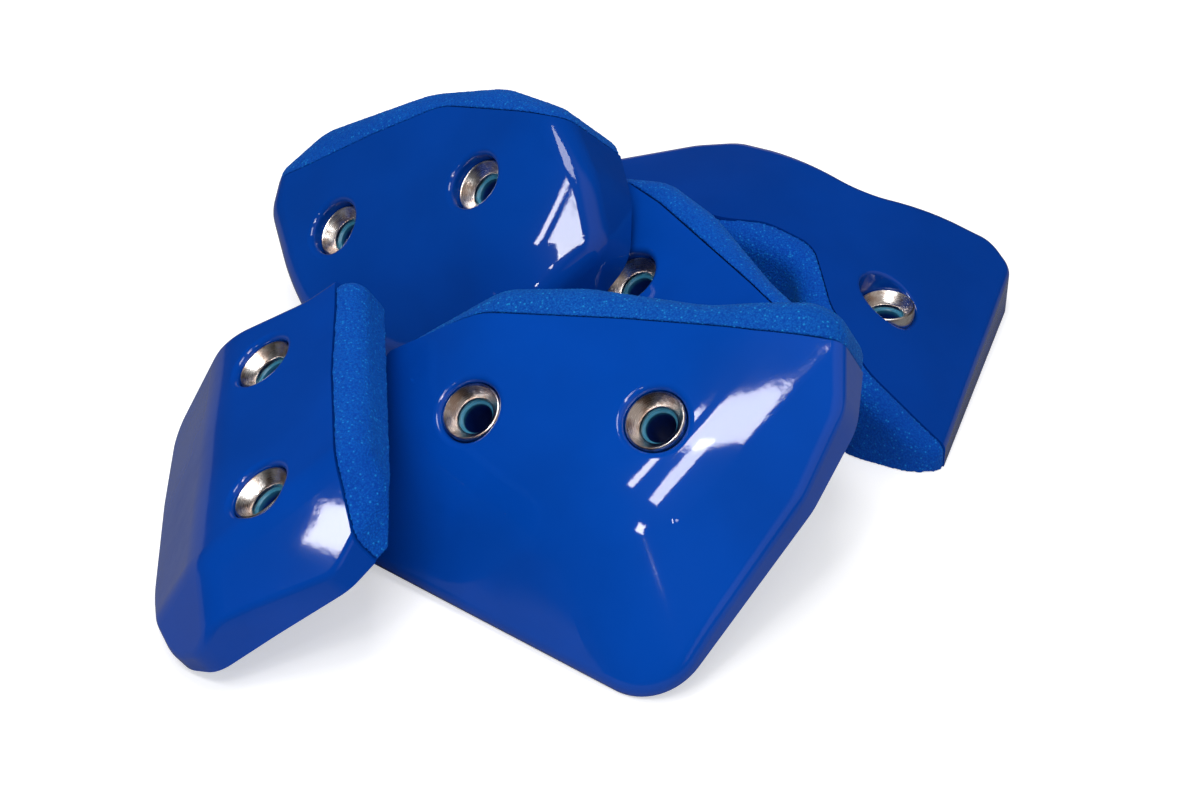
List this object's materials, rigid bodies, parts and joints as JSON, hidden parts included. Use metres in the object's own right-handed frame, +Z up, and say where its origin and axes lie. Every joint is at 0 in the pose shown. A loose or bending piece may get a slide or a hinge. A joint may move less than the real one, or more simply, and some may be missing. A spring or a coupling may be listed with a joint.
{
  "type": "climbing hold set",
  "caption": "Pile of faceted climbing holds with glossy faces, sandy grip bands and countersunk bolt washers, each resting on the floor and leaning on the next.",
  "frame": {"origin": "on the floor, under the middle of the pile's bounding box", "axes": "+Z up from the floor, +Y away from the side that the pile is seen from, +X to its right"},
  "size_m": [0.3304, 0.2862, 0.1159],
  "materials": {
    "glossy_blue_face": "smooth high gloss cast resin",
    "sandy_blue_grip": "sandy matt grip texture",
    "washer_steel": "turned, countersunk",
    "teal_sleeve": "moulded, satin"
  },
  "bodies": {
    "tall_hold": {"tall_face_shell": "glossy_blue_face", "tall_grip_band": "sandy_blue_grip", "tall_washer_near": "washer_steel", "tall_washer_far": "washer_steel", "tall_sleeve_near": "teal_sleeve", "tall_sleeve_far": "teal_sleeve"},
    "middle_hold": {"middle_face_shell": "glossy_blue_face", "middle_grip_band": "sandy_blue_grip", "middle_washer_near": "washer_steel", "middle_washer_far": "washer_steel", "middle_sleeve_near": "teal_sleeve", "middle_sleeve_far": "teal_sleeve"},
    "rear_hold": {"rear_face_shell": "glossy_blue_face", "rear_grip_band": "sandy_blue_grip", "rear_washer_near": "washer_steel", "rear_washer_far": "washer_steel", "rear_sleeve_near": "teal_sleeve", "rear_sleeve_far": "teal_sleeve"},
    "front_hold": {"front_face_shell": "glossy_blue_face", "front_grip_band": "sandy_blue_grip", "front_washer_near": "washer_steel", "front_washer_far": "washer_steel", "front_sleeve_near": "teal_sleeve", "front_sleeve_far": "teal_sleeve"},
    "left_hold": {"left_face_shell": "glossy_blue_face", "left_grip_band": "sandy_blue_grip", "left_washer_near": "washer_steel", "left_washer_far": "washer_steel", "left_sleeve_near": "teal_sleeve", "left_sleeve_far": "teal_sleeve"}
  },
  "joints": [
    {"name": "middle_lift", "type": "slide", "parent": "tall_hold", "child": "middle_hold", "axis": [0, 0, 1], "range_m": [0, 0.2]},
    {"name": "rear_lift", "type": "slide", "parent": "middle_hold", "child": "rear_hold", "axis": [0, 0, 1], "range_m": [0, 0.2]},
    {"name": "front_lift", "type": "slide", "parent": "middle_hold", "child": "front_hold", "axis": [0, 0, 1], "range_m": [0, 0.2]},
    {"name": "left_lift", "type": "slide", "parent": "front_hold", "child": "left_hold", "axis": [0, 0, 1], "range_m": [0, 0.2]}
  ]
}
